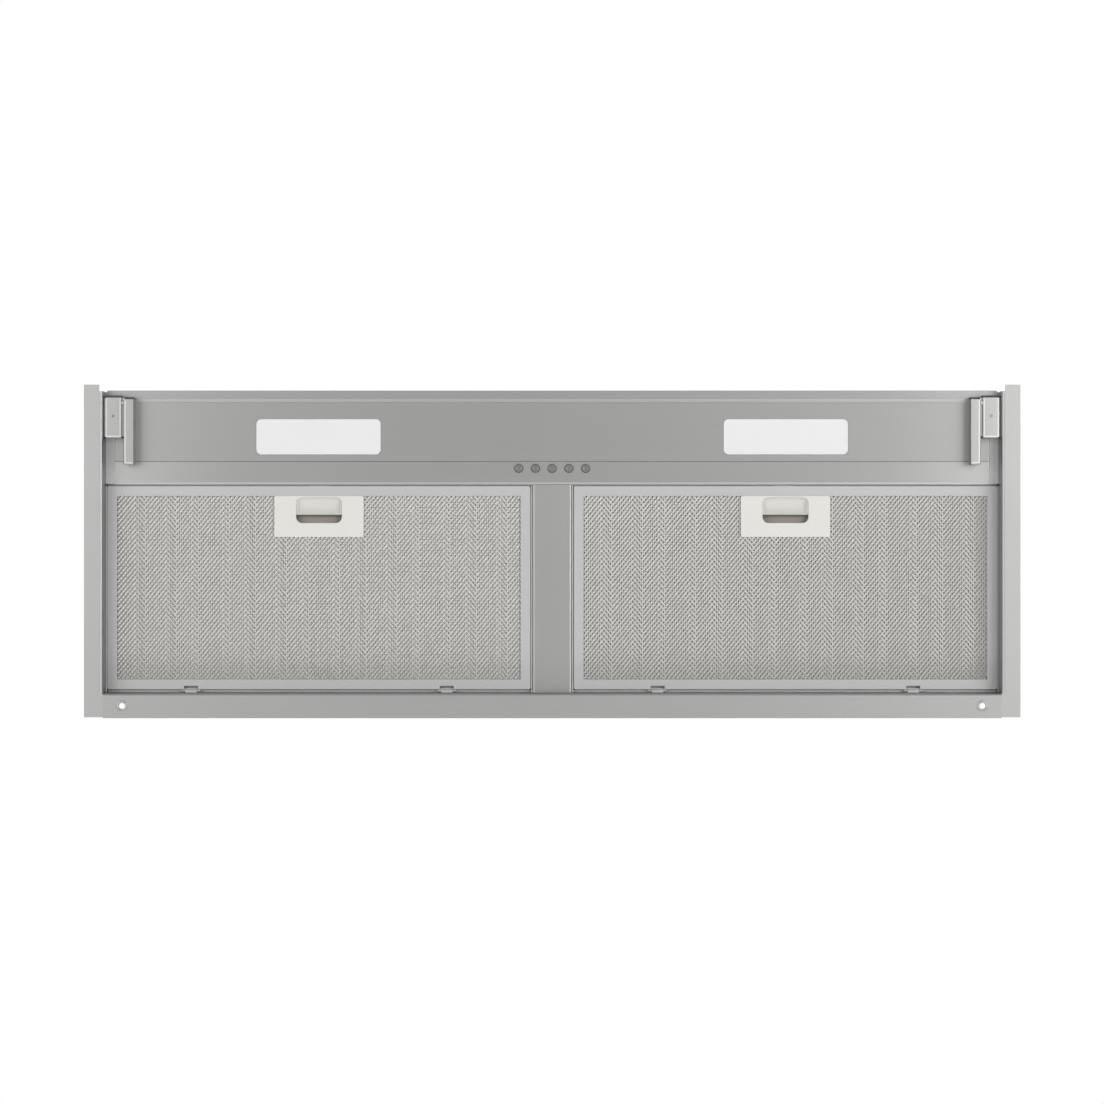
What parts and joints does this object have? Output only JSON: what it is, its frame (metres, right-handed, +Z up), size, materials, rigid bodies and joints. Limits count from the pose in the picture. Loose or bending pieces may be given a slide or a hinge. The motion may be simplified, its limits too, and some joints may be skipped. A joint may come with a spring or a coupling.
{
  "type": "built-in range hood",
  "caption": "Built-in range hood for a kitchen cabinet: folded steel tray with push buttons, lamps and latched mesh filters, a blower casing above and a round duct collar on top.",
  "frame": {"origin": "centre of the overall rectangle, on the underside of the flange", "axes": "+X to the right seen from the front, -Y to the front, +Z up towards the duct"},
  "size_m": [0.8, 0.285, 0.294],
  "materials": {
    "brushed_steel": "brushed along the width",
    "folded_steel": "bright folded sheet",
    "galvanised_sheet": "galvanised, matt",
    "lamp_lens": "frosted",
    "led_board": "white board",
    "white_plastic": "moulded",
    "button_steel": "polished",
    "dark_plastic": "moulded",
    "black_plastic": "moulded",
    "circuit_board": "lacquered board",
    "filter_aluminium": "satin",
    "filter_mesh": "expanded mesh, bright",
    "cream_plastic": "moulded",
    "spring_steel": "drawn wire",
    "fan_sheet": "galvanised",
    "motor_body": "laminated",
    "flap_plastic": "moulded",
    "screw_steel": "zinc plated"
  },
  "bodies": {
    "body": {"left_side_rail": "brushed_steel", "right_side_rail": "brushed_steel", "rear_rail": "brushed_steel", "front_panel": "brushed_steel", "control_strip": "brushed_steel", "centre_mullion": "brushed_steel", "deck_plate": "galvanised_sheet", "left_trim_bracket": "folded_steel", "right_trim_bracket": "folded_steel", "left_lamp_lens": "lamp_lens", "right_lamp_lens": "lamp_lens", "left_lamp_housing": "galvanised_sheet", "right_lamp_housing": "galvanised_sheet", "left_led_board": "led_board", "right_led_board": "led_board", "led_driver": "white_plastic", "switch_block": "dark_plastic", "control_board": "circuit_board", "casing_front": "galvanised_sheet", "casing_rear": "galvanised_sheet", "casing_left": "galvanised_sheet", "casing_right": "galvanised_sheet", "casing_top": "galvanised_sheet", "scroll_band": "galvanised_sheet", "scroll_left_plate": "galvanised_sheet", "scroll_right_plate": "galvanised_sheet", "motor": "motor_body", "motor_bracket": "folded_steel", "capacitor": "white_plastic", "outlet_collar": "dark_plastic", "flap_pin": "spring_steel", "terminal_box": "dark_plastic", "cable_gland": "black_plastic", "casing_screws": "screw_steel", "blower_screws": "screw_steel", "collar_screws": "screw_steel"},
    "left_filter": {"left_filter_frame": "filter_aluminium", "left_filter_mesh": "filter_mesh", "left_handle": "cream_plastic", "left_latch_springs": "spring_steel"},
    "left_latch": {"left_latch": "cream_plastic"},
    "right_filter": {"right_filter_frame": "filter_aluminium", "right_filter_mesh": "filter_mesh", "right_handle": "cream_plastic", "right_latch_springs": "spring_steel"},
    "right_latch": {"right_latch": "cream_plastic"},
    "fan": {"left_fan_blades": "fan_sheet", "right_fan_blades": "fan_sheet", "fan_disc": "fan_sheet", "motor_shaft": "spring_steel"},
    "front_flap": {"front_flap": "flap_plastic"},
    "rear_flap": {"rear_flap": "flap_plastic"},
    "light_button": {"light_button": "button_steel"},
    "off_button": {"off_button": "button_steel"},
    "low_button": {"low_button": "button_steel"},
    "medium_button": {"medium_button": "button_steel"},
    "high_button": {"high_button": "button_steel"}
  },
  "joints": [
    {"name": "light_button_press", "type": "slide", "parent": "body", "child": "light_button", "axis": [0, 0, 1], "range_m": [0, 0.0015], "stiffness_N_per_m": 400, "springref_m": -0.0005},
    {"name": "off_button_press", "type": "slide", "parent": "body", "child": "off_button", "axis": [0, 0, 1], "range_m": [0, 0.0015], "stiffness_N_per_m": 400, "springref_m": -0.0005},
    {"name": "low_button_press", "type": "slide", "parent": "body", "child": "low_button", "axis": [0, 0, 1], "range_m": [0, 0.0015], "stiffness_N_per_m": 400, "springref_m": -0.0005},
    {"name": "medium_button_press", "type": "slide", "parent": "body", "child": "medium_button", "axis": [0, 0, 1], "range_m": [0, 0.0015], "stiffness_N_per_m": 400, "springref_m": -0.0005},
    {"name": "high_button_press", "type": "slide", "parent": "body", "child": "high_button", "axis": [0, 0, 1], "range_m": [0, 0.0015], "stiffness_N_per_m": 400, "springref_m": -0.0005},
    {"name": "left_filter_swing", "type": "hinge", "parent": "body", "child": "left_filter", "pos_m": [-0.2007, 0.1199, 0.0223], "axis": [1, 0, 0], "range_deg": [0, 65]},
    {"name": "left_latch_slide", "type": "slide", "parent": "left_filter", "child": "left_latch", "axis": [0, 1, 0], "range_m": [0, 0.005], "stiffness_N_per_m": 600, "springref_m": -0.002, "deforming": ["left_latch_springs"]},
    {"name": "right_filter_swing", "type": "hinge", "parent": "body", "child": "right_filter", "pos_m": [0.2007, 0.1199, 0.0223], "axis": [1, 0, 0], "range_deg": [0, 65]},
    {"name": "right_latch_slide", "type": "slide", "parent": "right_filter", "child": "right_latch", "axis": [0, 1, 0], "range_m": [0, 0.005], "stiffness_N_per_m": 600, "springref_m": -0.002, "deforming": ["right_latch_springs"]},
    {"name": "fan_spin", "type": "hinge", "parent": "body", "child": "fan", "pos_m": [0, -0.03, 0.155], "axis": [1, 0, 0], "continuous": true},
    {"name": "front_flap_swing", "type": "hinge", "parent": "body", "child": "front_flap", "pos_m": [0, 0.03047, 0.268], "axis": [-1, 0, 0], "range_deg": [0, 75]},
    {"name": "rear_flap_swing", "type": "hinge", "parent": "body", "child": "rear_flap", "pos_m": [0, 0.03047, 0.268], "axis": [1, 0, 0], "range_deg": [0, 75]}
  ]
}
